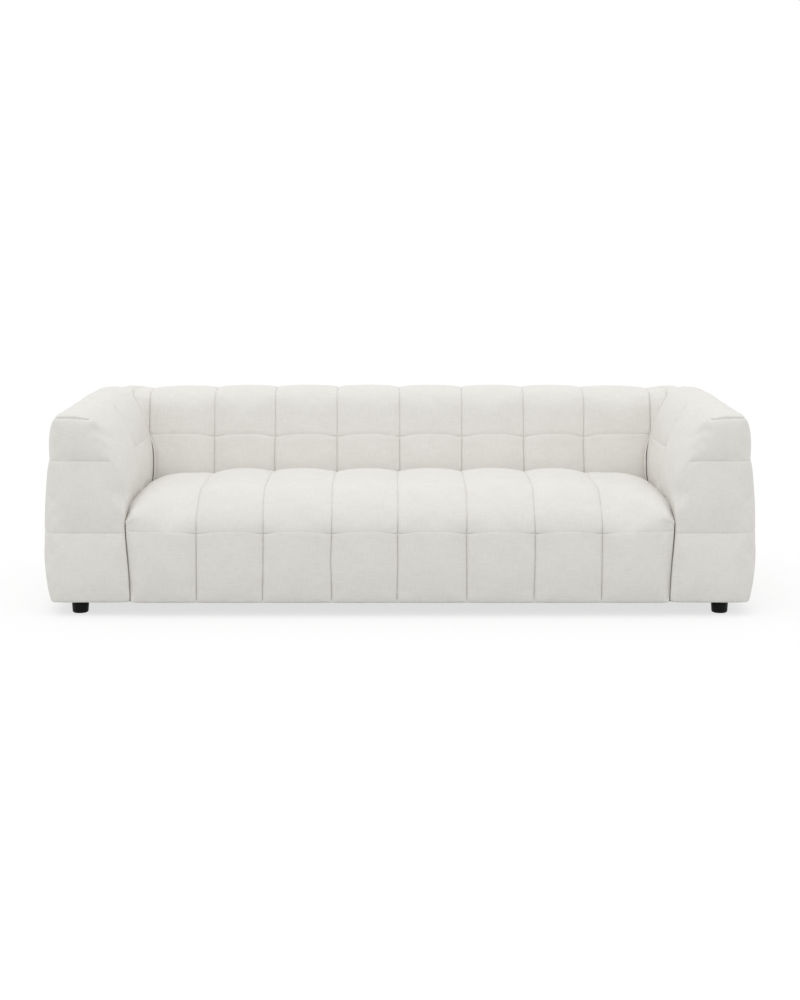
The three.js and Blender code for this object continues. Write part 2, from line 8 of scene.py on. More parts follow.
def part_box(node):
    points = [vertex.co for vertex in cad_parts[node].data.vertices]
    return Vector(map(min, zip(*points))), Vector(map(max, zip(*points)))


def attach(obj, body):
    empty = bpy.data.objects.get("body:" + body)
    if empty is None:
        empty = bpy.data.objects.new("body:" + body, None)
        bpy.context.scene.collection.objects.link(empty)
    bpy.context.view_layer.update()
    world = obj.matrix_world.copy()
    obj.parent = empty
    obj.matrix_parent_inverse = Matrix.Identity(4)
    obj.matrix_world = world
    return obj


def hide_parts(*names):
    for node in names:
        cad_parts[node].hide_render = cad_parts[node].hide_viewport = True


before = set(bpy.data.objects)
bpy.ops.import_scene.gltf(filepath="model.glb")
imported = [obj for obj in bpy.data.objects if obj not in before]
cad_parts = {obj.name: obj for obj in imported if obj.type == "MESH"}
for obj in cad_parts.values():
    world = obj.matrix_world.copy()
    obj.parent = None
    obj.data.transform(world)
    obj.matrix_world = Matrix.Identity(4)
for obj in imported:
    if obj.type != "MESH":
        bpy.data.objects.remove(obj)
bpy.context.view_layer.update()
scene = bpy.context.scene
scene.view_settings.view_transform = "Standard"


# Small helpers

def smoothStep(low, high, value):
    share = min(max((value - low) / (high - low), 0.0), 1.0)
    return share * share * (3.0 - 2.0 * share)


def fadeOut(low, high, value):
    return 1.0 - smoothStep(low, high, value)


def linear(hexColour):
    # sRGB hex to the linear values that the shaders want
    parts = [int(hexColour[i:i + 2], 16) / 255.0 for i in (1, 3, 5)]
    return tuple(c / 12.92 if c <= 0.04045 else ((c + 0.055) / 1.055) ** 2.4 for c in parts) + (1.0,)


def wire(tree, node, values=None, links=None):
    for name, value in (values or {}).items():
        node.inputs[name].default_value = value
    for name, source in (links or {}).items():      # a node stands for its first output
        tree.links.new(getattr(source, "outputs", [source])[0], node.inputs[name])


def addNode(tree, kind, settings=None, values=None, links=None, stops=()):
    node = tree.nodes.new("ShaderNode" + kind)
    for name, value in (settings or {}).items():
        setattr(node, name, value)
    wire(tree, node, values, links)
    for index, (place, colour) in enumerate(stops):     # a ramp has two stops to begin with
        elements = node.color_ramp.elements
        stop = elements[index] if index < 2 else elements.new(place)
        stop.position = place
        stop.color = linear(colour)
    return node


def startMaterial(name):
    material = bpy.data.materials.new(name)
    material.use_nodes = True
    return material, material.node_tree, material.node_tree.nodes["Principled BSDF"]


def placeOn(tree, scale=(1.0, 1.0, 1.0)):
    # the place on the object, scaled for the pattern
    place = addNode(tree, "TexCoord").outputs["Object"]
    return addNode(tree, "Mapping", values={"Scale": scale}, links={"Vector": place})


def finishMaterial(tree, shader, pattern, stops, strength, depth, values):
    # colours a pattern and raises it
    colour = addNode(tree, "ValToRGB", links={"Fac": pattern}, stops=stops)
    bump = addNode(tree, "Bump", values={"Strength": strength, "Distance": depth}, links={"Height": pattern})
    wire(tree, shader, values, {"Base Color": colour, "Normal": bump})


def newPiece(name, mesh, material, nodes, smooth=True):
    data = bpy.data.meshes.new(name)
    mesh.to_mesh(data)
    mesh.free()
    for face in data.polygons:
        face.use_smooth = smooth
    data.materials.append(material)
    piece = bpy.data.objects.new(name, data)
    scene.collection.objects.link(piece)
    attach(piece, "root")
    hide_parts(*nodes)
    return piece


# Camera, first because everything is judged through it

cameraSettings = {
    "place": (0.0, -6.8759, 1.4314), "tiltDegrees": 4.0,
    "lens": 68.139, "sensor": 36.0,     # mm
    "shiftDown": 0.1712,
}


def makeCamera(settings):
    data = bpy.data.cameras.new("photoCamera")
    data.lens = settings["lens"]
    data.sensor_width = settings["sensor"]
    data.shift_y = -settings["shiftDown"]
    camera = bpy.data.objects.new("photoCamera", data)
    camera.location = settings["place"]
    camera.rotation_euler = (math.radians(90.0 - settings["tiltDegrees"]), 0.0, 0.0)
    scene.collection.objects.link(camera)
    scene.camera = camera


makeCamera(cameraSettings)
print("camera placed")


# Sizes that several pieces share, in metres

sofa = {
    "height": 0.699, "halfWidth": 1.232, "rear": 0.5145, "underside": 0.05,
    "seatEnd": 0.9427,          # half the width of seat and back
    "endPanel": 0.69,           # where their end panels begin
    "armFace": 0.943, "armFront": -0.5015, "backFace": 0.1546,
    "lowerEdge": (0.05, 0.1),   # heights over which the lower edge's own form runs out
    "topEdge": (0.58, 0.69),    # heights over which the top's own form begins
    "tuckHeight": 0.105,        # how far above the underside the covers are pulled in towards the floor
}

perMetre = 1000.0       # patterns are sized in millimetres and placed in metres
waveLength = 0.314      # a wave texture of scale 1 repeats over this length


# Upholstery fabric

fabricSettings = {
    "pale": "#e9e8e3", "dark": "#e0ddd8",
    "threadSpacing": 2.4,       # mm; the real yarn is near 0.8 mm, too fine for the render, so it is drawn coarser
    "slubLength": 38.0,         # mm, how long a thick place in the yarn is
    "slubWidth": 3.4,           # mm; a real slub is 1 to 2 mm wide, drawn coarser as well
    "cloudSize": 90.0,          # mm
    "cloudShare": 0.25, "slubShare": 0.5, "threadShare": 0.6,
    "bumpStrength": 0.4, "bumpDepth": 0.0004,
}


def linenWeave(settings):
    # upholstery linen blend, plain woven from slubby yarn: matt, with short streaks both ways and a faint nap
    material, tree, shader = startMaterial("linen_weave_upholstery")
    cloth = addNode(tree, "UVMap", {"uv_map": "cloth"})
    onCloth = addNode(tree, "Mapping", values={"Scale": (perMetre, perMetre, 1.0)}, links={"Vector": cloth})
    width, length = 1.0 / settings["slubWidth"], 1.0 / settings["slubLength"]
    slubs, threads = [], []
    for direction, scale in (("X", (width, length, 1.0)), ("Y", (length, width, 1.0))):
        stretched = addNode(tree, "Mapping", values={"Scale": scale}, links={"Vector": onCloth})
        slubs.append(addNode(tree, "TexNoise", values={"Scale": 1.0, "Detail": 3.0, "Roughness": 0.6},
                             links={"Vector": stretched}))
        wave = addNode(tree, "TexWave", {"wave_type": "BANDS", "bands_direction": direction},
                       {"Scale": waveLength / settings["threadSpacing"], "Distortion": 1.1, "Detail": 2.0,
                        "Detail Scale": 0.6}, {"Vector": onCloth})
        threads.append(wave.outputs["Fac"])
    slub = addNode(tree, "Math", {"operation": "ADD"}, links={0: slubs[0], 1: slubs[1]})
    weave = addNode(tree, "Math", {"operation": "MULTIPLY"}, links={0: threads[0], 1: threads[1]})
    clouds = addNode(tree, "TexNoise", values={"Scale": 1.0 / settings["cloudSize"], "Detail": 2.0},
                     links={"Vector": onCloth})
    softClouds = addNode(tree, "Math", {"operation": "MULTIPLY"}, {1: settings["cloudShare"]}, {0: clouds})
    tone = addNode(tree, "Math", {"operation": "MULTIPLY_ADD"}, {1: settings["slubShare"]}, {0: slub, 2: softClouds})
    colour = addNode(tree, "ValToRGB", links={"Fac": tone}, stops=[(0.45, settings["dark"]), (0.8, settings["pale"])])
    height = addNode(tree, "Math", {"operation": "MULTIPLY_ADD"}, {1: settings["threadShare"]}, {0: weave, 2: slub})
    bump = addNode(tree, "Bump", values={"Strength": settings["bumpStrength"], "Distance": settings["bumpDepth"]},
                   links={"Height": height})
    roughness = addNode(tree, "MapRange", values={"From Max": 2.0, "To Min": 0.8, "To Max": 1.0}, links={"Value": slub})
    wire(tree, shader, {"Specular IOR Level": 0.25, "Sheen Weight": 0.08, "Sheen Roughness": 0.6},
         {"Base Color": colour, "Roughness": roughness, "Normal": bump})
    return material


linen = linenWeave(fabricSettings)


# Quilted sections: a block of fine cells whose sides swell between their seams

sideNames = (("left", "right"), ("front", "rear"), ("bottom", "top"))
plainSection = {
    "draw": (1.0, 0.0, 0.2),    # how much of its depth a seam across x, y or z keeps between two crossings
    "crossing": 1.0,            # and at a crossing
    "groove": lambda point: 1.0, "dimple": lambda point: 0.0, "piping": lambda point, sides: 0.0,
}

quiltSettings = {
    "cell": 0.0135,
    "crownPower": 0.62,
    "creaseHalfWidth": 0.0016,
    "creaseDepth": 0.0082,
    "sewnFrom": 0.3, "drawnFrom": 0.1,  # a weaker seam, or one whose stitches draw less, gets no groove
    "crossingReach": 0.024,     # how far from a crossing a faint seam stays drawn in
    "unevenness": 0.2,          # how much the panels differ in fullness
    "unevenScale": 4.0,
    "gather": 0.0012,           # small ripples where the cloth is gathered in a seam
    "gatherReach": 0.028, "gatherLength": 0.036,
    "gatherAcross": 9.0, "gatherHeight": 0.7,
    "settling": 10,             # how often the sides without panels are evened out
    "sag": 0.009,               # a level seam hangs lower where an upright one crosses it
    "sagReach": 0.045, "sagHeight": 0.06,
    "waver": 0.0035,            # how far the upright seams stray from a straight line
    "waverScale": (5.0, 3.0, 7.0),
}


def stationsAlong(seams):
    # places along one axis: where, which panel, share of that panel
    stations = []
    for panel in range(len(seams) - 1):
        low, high = seams[panel], seams[panel + 1]
        cells = max(2, round((high - low) / quiltSettings["cell"]))
        stations += [(low + (high - low) * step / cells, panel, step / cells) for step in range(cells)]
    return stations + [(seams[-1], len(seams) - 2, 1.0)]


def gridBlock(counts):
    mesh = bmesh.new()
    bmesh.ops.create_cube(mesh, size=1.0)
    for axis in range(3):
        along = [e for e in mesh.edges if abs(e.verts[0].co[axis] - e.verts[1].co[axis]) > 0.5]
        bmesh.ops.subdivide_edges(mesh, edges=along, cuts=counts[axis] - 1, use_grid_fill=True)
    mesh.normal_update()
    return mesh


def soften(point, seams, reachOf):
    # rounds the block off, as far in as each side's soft edge reaches there
    core, turn, reaches = [], [], []
    for axis in range(3):
        lowReach, highReach = (reachOf(side, point) for side in sideNames[axis])
        inside = min(max(point[axis], seams[axis][0] + lowReach), seams[axis][-1] - highReach)
        reach = lowReach if point[axis] < inside else highReach
        core.append(inside)
        reaches.append(reach)
        turn.append((point[axis] - inside) / reach if reach > 0.0 else 0.0)
    longest = max(abs(t) for t in turn)
    length = math.sqrt(sum(t * t for t in turn)) / longest if longest > 0.0 else 1.0
    return Vector([c + t / length * r for c, t, r in zip(core, turn, reaches)])


def fullnessOn(side, axis, stations, point, strengthOf):
    # 1 in the middle of a panel and 0 on a seam; a seam of strength 0 isn't there
    fullness = 1.0
    for other in range(3):
        if other != axis:
            _, panel, share = stations[other]
            drop = 1.0 - max(math.sin(math.pi * share), 0.0) ** quiltSettings["crownPower"]
            low = strengthOf(side, other, panel, point)
            high = strengthOf(side, other, panel + 1, point)
            fullness *= 1.0 - drop * (low * (1.0 - share) + high * share)
    return fullness


def seamsAt(side, axis, stations, point, settings):
    # the strongest seam through a station, and how deep its stitches draw; the block's edges don't count
    best = (0.0, 0.0)
    for other in range(3):
        _, panel, share = stations[other]
        if other == axis or share not in (0.0, 1.0):
            continue
        seam = panel + round(share)
        if 0 < seam < len(settings["seams"][other]) - 1:
            strength = settings["strength"](side, other, seam, point)
            third = 3 - axis - other
            low, high = settings["seams"][third][stations[third][1]:][:2]
            away = min(point[third] - low, high - point[third]) / quiltSettings["crossingReach"]
            faint = settings["draw"][other]
            drawn = faint + (settings["crossing"] - faint) * math.exp(-away * away)
            best = max(best, (strength, strength * drawn * settings["groove"](point)))
    return best


def rippleAt(axis, stations, height, seams):
    # the cloth's gathers, which die away from the nearest seam and run across it
    nearest = (1.0, 0.0)
    for other in range(3):
        if other != axis:
            place, panel, _ = stations[other]
            distance = min(place - seams[other][panel], seams[other][panel + 1] - place)
            nearest = min(nearest, (distance, stations[3 - axis - other][0]))
    distance, along = nearest
    place = (along / quiltSettings["gatherLength"], distance * quiltSettings["gatherAcross"],
             height * quiltSettings["gatherHeight"])
    return math.exp(-distance / quiltSettings["gatherReach"]) * noise.noise(Vector(place))


def layCloth(mesh, flat):
    # the weave lies as on a block of unbent cloth, so it follows every side
    uvLayer = mesh.loops.layers.uv.new("cloth")
    for face in mesh.faces:
        ways = [axis for axis in range(3) if abs(face.normal[axis]) < 0.5]
        for loop in face.loops:
            loop[uvLayer].uv = [flat[loop.vert][axis] for axis in ways]


def quiltedBlock(section, slack):
    settings = plainSection | section
    seams, strengthOf = settings["seams"], settings["strength"]
    stations = [stationsAlong(places) for places in seams]
    counts = [len(places) - 1 for places in stations]
    mesh = gridBlock(counts)
    layers = mesh.verts.layers.float
    seamLayer, drawLayer, freeLayer, rippleLayer = map(layers.new, ("seam", "draw", "free", "ripple"))
    flat, inwards, touching = {}, {}, {}
    for vert in mesh.verts:
        steps = [round((vert.co[a] + 0.5) * counts[a]) for a in range(3)]
        chosen = [stations[a][steps[a]] for a in range(3)]
        point = [station[0] for station in chosen]
        on = [(a, sideNames[a][0 if steps[a] == 0 else 1]) for a in range(3) if steps[a] in (0, counts[a])]
        opens = {a: settings["open"](side, point) for a, side in on}    # 0 where the side presses against a neighbour
        quilted = [(a, side) for a, side in on if opens[a] > 0.0]
        fullness = min([1.0 - opens[a] * (1.0 - fullnessOn(side, a, chosen, point, strengthOf)) for a, side in quilted],
                       default=1.0)
        depth = max([settings["depth"](side, point) for _, side in quilted], default=0.0)
        uneven = noise.noise(Vector(point) * quiltSettings["unevenScale"] + Vector(settings["seed"]))
        depth *= 1.0 + quiltSettings["unevenness"] * uneven
        sewn = max([seamsAt(side, a, chosen, point, settings) for a, side in quilted], default=(0.0, 0.0))
        piped = settings["piping"](point, [side for _, side in on])
        vert[seamLayer], vert[drawLayer] = max(sewn, (piped, piped))
        vert[freeLayer] = fullness * min(opens.values()) if opens else 0.0
        if quilted:
            vert[rippleLayer] = rippleAt(quilted[0][0], chosen, point[2], seams)
        flat[vert] = point
        touching[vert] = opens
        inwards[vert] = depth * (1.0 - fullness) + settings["dimple"](point) + slack * vert[freeLayer]
    layCloth(mesh, flat)
    for vert in mesh.verts:
        vert.co = settings["bend"](soften(flat[vert], seams, settings["reach"]))
    mesh.normal_update()
    for vert in mesh.verts:
        outwards = vert.normal.copy()
        for axis, share in touching[vert].items():
            outwards[axis] *= share
        if outwards.length > 0.01:
            vert.co -= outwards.normalized() * inwards[vert]
    pressed = [vert for vert in mesh.verts if touching[vert] and max(touching[vert].values()) == 0.0]
    for _ in range(quiltSettings["settling"]):
        bmesh.ops.smooth_vert(mesh, verts=pressed, factor=0.5, use_axis_x=True, use_axis_y=True, use_axis_z=True)
    return mesh


def sewSeams(piece):
    # each seam becomes a narrow groove, deepest where its stitches draw most
    mesh = bmesh.new()
    mesh.from_mesh(piece.data)
    seamLayer, drawLayer, rippleLayer = map(mesh.verts.layers.float.get, ("seam", "draw", "ripple"))
    mesh.normal_update()
    for vert in mesh.verts:
        vert.co += vert.normal * (quiltSettings["gather"] * vert[rippleLayer])
    sewn = [e for e in mesh.edges if min(v[seamLayer] for v in e.verts) > quiltSettings["sewnFrom"]
            and max(v[drawLayer] for v in e.verts) > quiltSettings["drawnFrom"]]
    bevelled = bmesh.ops.bevel(mesh, geom=sewn, affect="EDGES", offset=quiltSettings["creaseHalfWidth"],
                               segments=2, profile=0.5, material=-1, clamp_overlap=True)
    strips = set(bevelled["faces"])
    bottoms = {v for v in bevelled["verts"] if v.is_valid and all(f in strips for f in v.link_faces)}
    sharpness = mesh.edges.layers.float.get("crease_edge") or mesh.edges.layers.float.new("crease_edge")
    mesh.normal_update()
    for vert in bottoms:
        vert.co -= vert.normal * (quiltSettings["creaseDepth"] * vert[drawLayer])
    for edge in mesh.edges:
        if edge.verts[0] in bottoms and edge.verts[1] in bottoms:
            edge[sharpness] = 1.0
    for face in mesh.faces:
        face.smooth = True
    mesh.to_mesh(piece.data)
    mesh.free()


def seamWaver(point):
    calm = max(1.0 - (abs(point[0]) / sofa["seatEnd"]) ** 8, 0.0)
    place = [coordinate * scale for coordinate, scale in zip(point, quiltSettings["waverScale"])]
    return quiltSettings["waver"] * calm * noise.noise(Vector(place))


def levelSag(point, uprights, level):
    away = min(abs(point[0] - seam) for seam in uprights) / quiltSettings["sagReach"]
    height = (point[2] - level) / quiltSettings["sagHeight"]
    return quiltSettings["sag"] * math.exp(-away * away - height * height)


def tuckUnder(z, amount):
    return amount * max(1.0 - (z - sofa["underside"]) / sofa["tuckHeight"], 0.0)


def endShare(x):
    # 0 where the end panel begins and 1 at the arm
    return min(max((abs(x) - sofa["endPanel"]) / (sofa["seatEnd"] - sofa["endPanel"]), 0.0), 1.0)


# The line in front where seat and arm meet: it runs inwards towards the floor, with a narrow gap

meetingSettings = {
    "inwards": 0.022, "lineHeights": (0.08, 0.4), "lineDepths": (-0.5, -0.44),
    "halfGap": 0.0005, "gapHeights": (0.3, 0.36), "gapDepths": (-0.5, -0.47),
    "closing": 0.004,           # the gap closes at the lower edge
}


def endLine(y, z):
    line = meetingSettings
    return -line["inwards"] * fadeOut(*line["lineHeights"], z) * fadeOut(*line["lineDepths"], y)


def frontGap(y, z):
    line = meetingSettings
    width = line["halfGap"] * fadeOut(*line["gapHeights"], z)
    width -= line["closing"] * fadeOut(*sofa["lowerEdge"], z)
    return width * fadeOut(*line["gapDepths"], y)


# Seat

seatSettings = {
    "seams": ((-0.9427, -0.694, -0.468, -0.235, -0.008, 0.227, 0.459, 0.689, 0.9427),
              (-0.5145, -0.0745, 0.1540), (0.05, 0.295, 0.42)),
    "strengths": {1: (0.0, 0.4, 0.8), 2: (0.6, 0.5, 0.0)},      # of the seams that cross y and z
    "topFade": 0.25, "endFade": 0.6,    # how much weaker the upright seams are on top, and at the ends
    "turn": (0.26, 0.38),       # heights over which the front turns into the top
    "grooveFade": 0.4, "grooveTurn": (0.3, 0.4),
    "seed": (3.0, 0.0, 1.0),
    "frontDepth": 0.013, "topDepth": 0.015,
    "reaches": {"front": 0.155, "top": 0.115, "rear": 0.02, "bottom": 0.0},
    "endReaches": {"front": 0.1, "top": 0.07},      # how much tighter the roll is beside the arms
    "endTurn": (0.78, 0.93),
    "edgeRound": ((0.013, 0.05, 0.12), (0.02, 0.26, 0.34)),     # front's upright edges: reach, heights of its start
    "edgeDepths": (-0.46, -0.4),
    "shoulder": (0.64, 0.76), "shoulderDrop": 0.02,     # the end panels slope down to the arms
    "slopeStart": 0.8, "slopeLength": 0.13, "endDrop": 0.048,
    "dropHeights": (0.3, 0.41),
    "rise": 0.022,              # the seat stands highest behind its front roll and falls off towards the back
    "riseFront": (-0.5, -0.38), "riseRear": (-0.08, 0.2), "riseHeights": (0.33, 0.42),
    "lip": 0.004,               # the lower edge hangs a little below the frame
    "lipDepths": (-0.5, -0.48),
    "frontPart": -0.4,
    "tuck": 0.007,              # how far the front is pulled in under its lower edge
}


def seatStrength(side, axis, seam, point):
    if axis != 0:
        return seatSettings["strengths"][axis][seam]
    fade = seatSettings["endFade"] if seam in (0, 8) else seatSettings["topFade"]
    return 1.0 - fade * smoothStep(*seatSettings["turn"], point[2])


def seatDrop(x):
    seat = seatSettings
    turn = min(max((abs(x) - seat["slopeStart"]) / seat["slopeLength"], 0.0), 1.0)
    return (seat["shoulderDrop"] * smoothStep(*seat["shoulder"], abs(x))
            + seat["endDrop"] * (1.0 - math.sqrt(1.0 - turn * turn)))


def seatReach(side, point):
    if side in ("left", "right"):
        rounding = sum(reach * smoothStep(low, high, point[2]) for reach, low, high in seatSettings["edgeRound"])
        return rounding * fadeOut(*seatSettings["edgeDepths"], point[1])
    atEnds = smoothStep(*seatSettings["endTurn"], abs(point[0]))
    return seatSettings["reaches"][side] - seatSettings["endReaches"].get(side, 0.0) * atEnds


def seatBend(point):
    x, y, z = point
    seat = seatSettings
    x += seamWaver(point) + math.copysign(1.0, x) * endShare(x) ** 2 * (endLine(y, z) - frontGap(y, z))
    down = seatDrop(x) * smoothStep(*seat["dropHeights"], z)
    middle = smoothStep(*seat["riseFront"], y) * fadeOut(*seat["riseRear"], y)
    down -= seat["rise"] * middle * smoothStep(*seat["riseHeights"], z)
    down += seat["lip"] * fadeOut(*seat["lipDepths"], y) * fadeOut(*sofa["lowerEdge"], z)
    if y < seat["frontPart"]:
        down += levelSag(point, seat["seams"][0][1:-1], seat["seams"][2][1])
        y += tuckUnder(z, seat["tuck"])
    return Vector((x, y, z - down))


seatSettings.update({
    "strength": seatStrength,
    "bend": seatBend,
    "reach": seatReach,
    "open": lambda side, point: 1.0 if side in ("front", "top") else 0.0,
    "depth": lambda side, point: seatSettings["frontDepth" if side == "front" else "topDepth"],
    "groove": lambda point: 1.0 - seatSettings["grooveFade"] * smoothStep(*seatSettings["grooveTurn"], point[2]),
})


# Back

backSettings = {
    "seams": ((-0.9627, -0.9427, -0.697, -0.469, -0.236, -0.002, 0.233, 0.465, 0.692, 0.9427, 0.9627),
              (0.1546, 0.5145), (0.05, 0.286, 0.542, 0.699)),
    "levelStrengths": (0.9, 0.6, 0.5, 0.0),
    "endStrength": (0.3, 0.7), "endTurn": (0.5, 0.56),          # low down, and what is added above
    "uprightStrength": (0.78, -0.2), "uprightTurn": (0.5, 0.58),
    "seed": (0.0, 7.0, 2.0),
    "topDepth": 0.007,          # the top's seams are drawn in less than those of the face
    "faceDepth": 0.007, "depthReach": 0.12,
    "reaches": {"front": 0.06, "top": 0.055, "rear": 0.05},
    "rakeFoot": 0.36, "rake": 0.065,        # the face leans back above its foot
    "rearPart": 0.4, "tuck": 0.007,
    "crown": 0.0085, "crownPlace": 0.33, "crownReach": 0.12,    # the tops of back and arms rise in one low crown
    "fall": 0.012, "fallStart": 0.38,       # and fall off behind it
    "endFall": 0.0045, "endFallTurn": (0.66, 0.76),
    "crevice": 0.006, "creviceHeights": (0.5, 0.54), "creviceDepths": (0.18, 0.23),
    "strip": 0.02, "stripFill": 0.006,      # beyond the last seam a narrow strip fills the corner with the arm
}


def backStrength(side, axis, seam, point):
    if axis == 2:
        return backSettings["levelStrengths"][seam]
    if axis == 1 or seam in (0, 10):
        return 0.0
    kind = "end" if seam in (1, 9) else "upright"
    low, added = backSettings[kind + "Strength"]
    return low + added * smoothStep(*backSettings[kind + "Turn"], point[2])


def backDepth(side, point):
    if side == "top":
        return backSettings["topDepth"]
    below = smoothStep(0.0, backSettings["depthReach"], sofa["height"] - point[2])
    return backSettings["topDepth"] + backSettings["faceDepth"] * below


def topCrown(y, z):
    away = (y - backSettings["crownPlace"]) / backSettings["crownReach"]
    fall = backSettings["fall"] * smoothStep(backSettings["fallStart"], sofa["rear"], y)
    return (backSettings["crown"] * math.exp(-away ** 2) - fall) * smoothStep(*sofa["topEdge"], z)


def backBend(point):
    x, y, z = point
    back = backSettings
    z -= levelSag(point, back["seams"][0][2:-2], back["seams"][2][2])
    rake = back["rake"] * max(z - back["rakeFoot"], 0.0) / (sofa["height"] - back["rakeFoot"])
    y += rake * (sofa["rear"] - y) / (sofa["rear"] - sofa["backFace"])
    if y > back["rearPart"]:
        y -= tuckUnder(z, back["tuck"])
    line = armInnerLine(y, z)
    endFall = back["endFall"] * smoothStep(*back["endFallTurn"], abs(x)) * smoothStep(*sofa["topEdge"], z)
    z += topCrown(y, z) - endFall
    crevice = back["crevice"] * fadeOut(*back["creviceHeights"], z) * fadeOut(*back["creviceDepths"], y)
    strip = max((abs(x) - sofa["seatEnd"]) / back["strip"], 0.0)
    end = endShare(x)
    across = (min(abs(x), sofa["seatEnd"]) + min(line, 0.0) * end * end
              + strip * (max(line, 0.0) + back["stripFill"]) - crevice * end)
    return Vector((math.copysign(across, x) + seamWaver(point), y, z))


backSettings.update({
    "strength": backStrength,
    "bend": backBend,
    "reach": lambda side, point: backSettings["reaches"].get(side, 0.0),
    "open": lambda side, point: 1.0 if side in ("front", "rear", "top") else 0.0,
    "depth": backDepth,
})


# Arms: the right one is made, the left one is its mirror image

armSettings = {
    "seams": ((0.943, 1.232), (-0.5015, -0.0715, 0.2155, 0.5145), (0.05, 0.286, 0.534, 0.699)),
    "draw": (0.6, 0.35, 0.3),
    "crossing": 0.5,
    "seed": (5.0, 1.0, 4.0),
    "innerDepth": 0.021, "innerEase": 0.008, "innerTurn": (0.5, 0.62),
    "topDepth": 0.012, "outerDepth": 0.016,
    "freeHeights": (0.33, 0.42), "freeDepths": (0.18, 0.25),    # the inner side is free above the seat, before the back
    "roundHeights": (0.33, 0.43), "roundDepths": (0.19, 0.27),
    "innerReach": (0.006, 0.069), "frontReach": (0.012, 0.063, 0.012), "frontTurn": (0.96, 1.09),
    "topReach": 0.055, "topFrontEase": 0.022, "topFrontDepths": (-0.5, -0.42), "rearReach": 0.05,
    "tufts": ((-0.0715, 0.534, 0.012, 0.024), (-0.0715, 0.692, 0.004, 0.03)),    # y, z, depth, reach on the inner face
    "foldDepth": 0.006, "foldReach": 0.018,     # a soft fold runs along the top from the front tuft to the rear
    "foldStart": -0.0715, "foldLength": 0.586, "foldInner": 0.957, "foldAcross": 0.138, "foldFade": 6.0,
    "pipingStrength": 0.55, "pipingFrom": (0.94, 0.958),    # the front's upper edge is sewn too, as far as the pucker
    "lean": 0.064, "frontLean": 0.034, "frontLeanLength": 0.55,     # the inner face leans away from the seat,
    "leanStart": 0.45, "leanPower": 1.5, "leanDepths": (0.3, 0.5),
    "belly": (0.012, 0.008), "bellyTurn": (0.1, 0.65),      # and has a belly over it
    "bellyBottom": (0.3, 0.4), "bellyTop": (0.5, 0.66), "bellyDepths": (0.3, 0.48),
    "frontEase": 0.018, "rearEase": 0.01,   # the outer side curves in towards the front and rear
    "easeLength": 0.12, "easePower": 1.5,
    "tuck": 0.0076,
    "outerSlack": 0.003,
    "batter": 0.02, "batterHeights": (0.22, 0.64),          # the outer side leans in towards the top
    "shoulder": 0.006, "shoulderHeights": (0.6, 0.699),
    "lipDepths": (-0.49, -0.475), "lipOuter": (1.19, 1.22),
    "rearDrop": 0.01, "rearDropDepths": (0.15, 0.4),        # the top's outer side falls off towards the rear
}


def armInnerLine(y, z):
    # how far out of its plane the arm's inner face stands
    arm = armSettings
    fromFront = y - sofa["armFront"]
    share = max(z - arm["leanStart"], 0.0) / (sofa["height"] - arm["leanStart"])
    lean = arm["lean"] + arm["frontLean"] * max(1.0 - fromFront / arm["frontLeanLength"], 0.0)
    lean *= fadeOut(*arm["leanDepths"], y)
    least, added = arm["belly"]
    belly = least + added * smoothStep(*arm["bellyTurn"], fromFront)
    belly *= smoothStep(*arm["bellyBottom"], z) * fadeOut(*arm["bellyTop"], z)
    return lean * share ** arm["leanPower"] - belly * fadeOut(*arm["bellyDepths"], y)


def armStrength(side, axis, seam, point):
    # for each side the seams' strengths in order: across from the seat, from front to rear, or from the floor up
    x, y, z = point
    belowSeat = fadeOut(*armSettings["freeHeights"], z)
    if axis == 0:
        if side == "top":
            return (0.45 * smoothStep(0.2, 0.3, y), 0.0)[seam]
        return (0.8 if side == "rear" else 0.6 * belowSeat, 0.5)[seam]
    if axis == 1:
        if side == "left":
            return (0.6 * belowSeat, 0.9, 0.0, 0.0)[seam]
        if side == "top":
            return (smoothStep(0.943, 0.97, x), 0.4, 0.4, 0.5)[seam]
        return (0.5, 1.0, 1.0, 0.5)[seam]
    if side == "left":
        return (0.3, 0.2, 0.6 * smoothStep(-0.2, -0.06, y) * (1.0 - 0.7 * smoothStep(0.06, 0.16, y)), 0.0)[seam]
    if side == "right":
        level = 0.35 + 0.5 * smoothStep(-0.42, -0.25, y)    # the side's level seams begin behind the front corner
        return (0.9, level, level, 0.0)[seam]
    if side == "rear":
        return (0.9, 0.85, 0.85, 0.3)[seam]
    outer = 1.0 - 0.5 * smoothStep(1.13, 1.21, x)
    return (0.6, 0.8 * outer, 0.75 * outer * smoothStep(0.945, 0.985, x), 0.8 * smoothStep(0.943, 1.0, x))[seam]


def armOpen(side, point):
    # the inner side is pressed flat by the seat and by the back's end
    if side == "left":
        return smoothStep(*armSettings["freeHeights"], point[2]) * fadeOut(*armSettings["freeDepths"], point[1])
    return 0.0 if side == "bottom" else 1.0


def armReach(side, point):
    x, y, z = point
    arm = armSettings
    aboveSeat = smoothStep(*arm["roundHeights"], z)
    if side == "left":
        least, added = arm["innerReach"]
        return least + added * aboveSeat * fadeOut(*arm["roundDepths"], y)
    if side == "front":
        least, inner, outer = arm["frontReach"]
        innerShare = fadeOut(*arm["frontTurn"], x)
        return least + inner * innerShare * aboveSeat + outer * (1.0 - innerShare)
    if side == "top":
        return arm["topReach"] - arm["topFrontEase"] * fadeOut(*arm["topFrontDepths"], y)
    return {"right": arm["topReach"], "rear": arm["rearReach"], "bottom": 0.0}[side]


